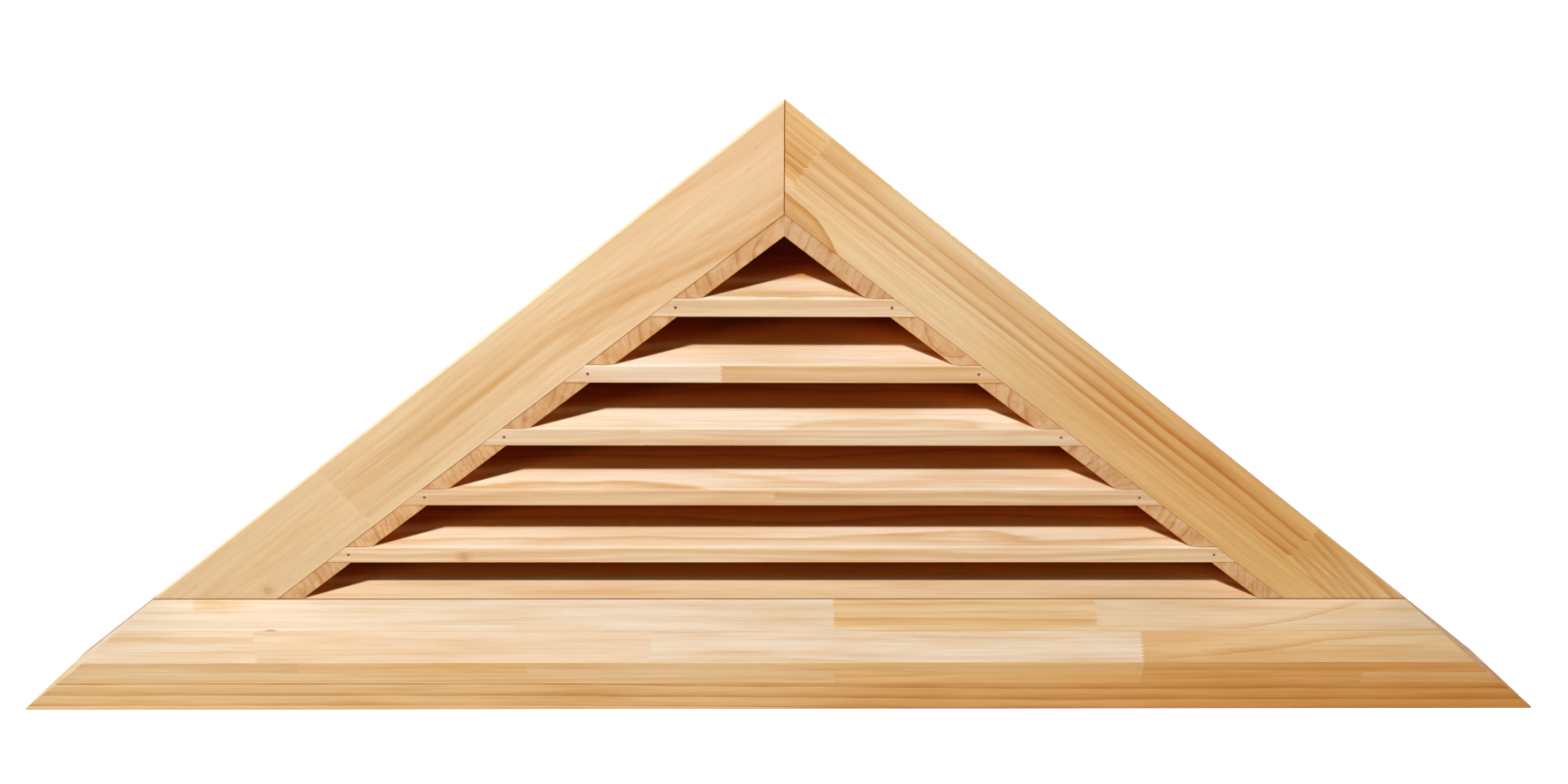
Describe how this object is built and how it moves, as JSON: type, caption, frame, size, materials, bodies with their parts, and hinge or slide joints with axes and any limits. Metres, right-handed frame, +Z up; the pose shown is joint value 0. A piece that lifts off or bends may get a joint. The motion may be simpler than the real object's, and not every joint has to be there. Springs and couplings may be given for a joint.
{
  "type": "gable vent",
  "caption": "Triangular pine gable vent: mitred rake boards on a projecting sloped sill, with fixed sloping louvre slats on end-grain spacer blocks and a screened box behind.",
  "frame": {"origin": "on the wall plane, in the middle of the lower edge of the wall opening", "axes": "+X to the right seen from outside, along the sill; +Y into the wall; +Z up"},
  "size_m": [1.7142, 0.1653, 0.6599],
  "materials": {
    "face_pine": "planed bare pine",
    "sill_pine": "planed bare pine",
    "slat_pine": "planed bare pine",
    "end_grain_pine": "sawn end grain",
    "box_pine": "planed bare pine",
    "brad_steel": "plain steel",
    "staple_steel": "galvanised",
    "screen_wire": "galvanised"
  },
  "bodies": {
    "root": {"sill": "sill_pine", "bottom_slat": "slat_pine", "slat_brads": "brad_steel", "screen_staples": "staple_steel", "bottom_rail": "box_pine", "insect_screen": "screen_wire", "left_rake": "face_pine", "right_rake": "face_pine", "left_jamb": "box_pine", "right_jamb": "box_pine", "louvre_slat_1": "slat_pine", "louvre_slat_2": "slat_pine", "louvre_slat_3": "slat_pine", "louvre_slat_4": "slat_pine", "louvre_slat_5": "slat_pine", "left_spacer_1": "end_grain_pine", "left_spacer_2": "end_grain_pine", "left_spacer_3": "end_grain_pine", "left_spacer_4": "end_grain_pine", "left_spacer_5": "end_grain_pine", "left_spacer_6": "end_grain_pine", "right_spacer_1": "end_grain_pine", "right_spacer_2": "end_grain_pine", "right_spacer_3": "end_grain_pine", "right_spacer_4": "end_grain_pine", "right_spacer_5": "end_grain_pine", "right_spacer_6": "end_grain_pine"}
  },
  "joints": []
}
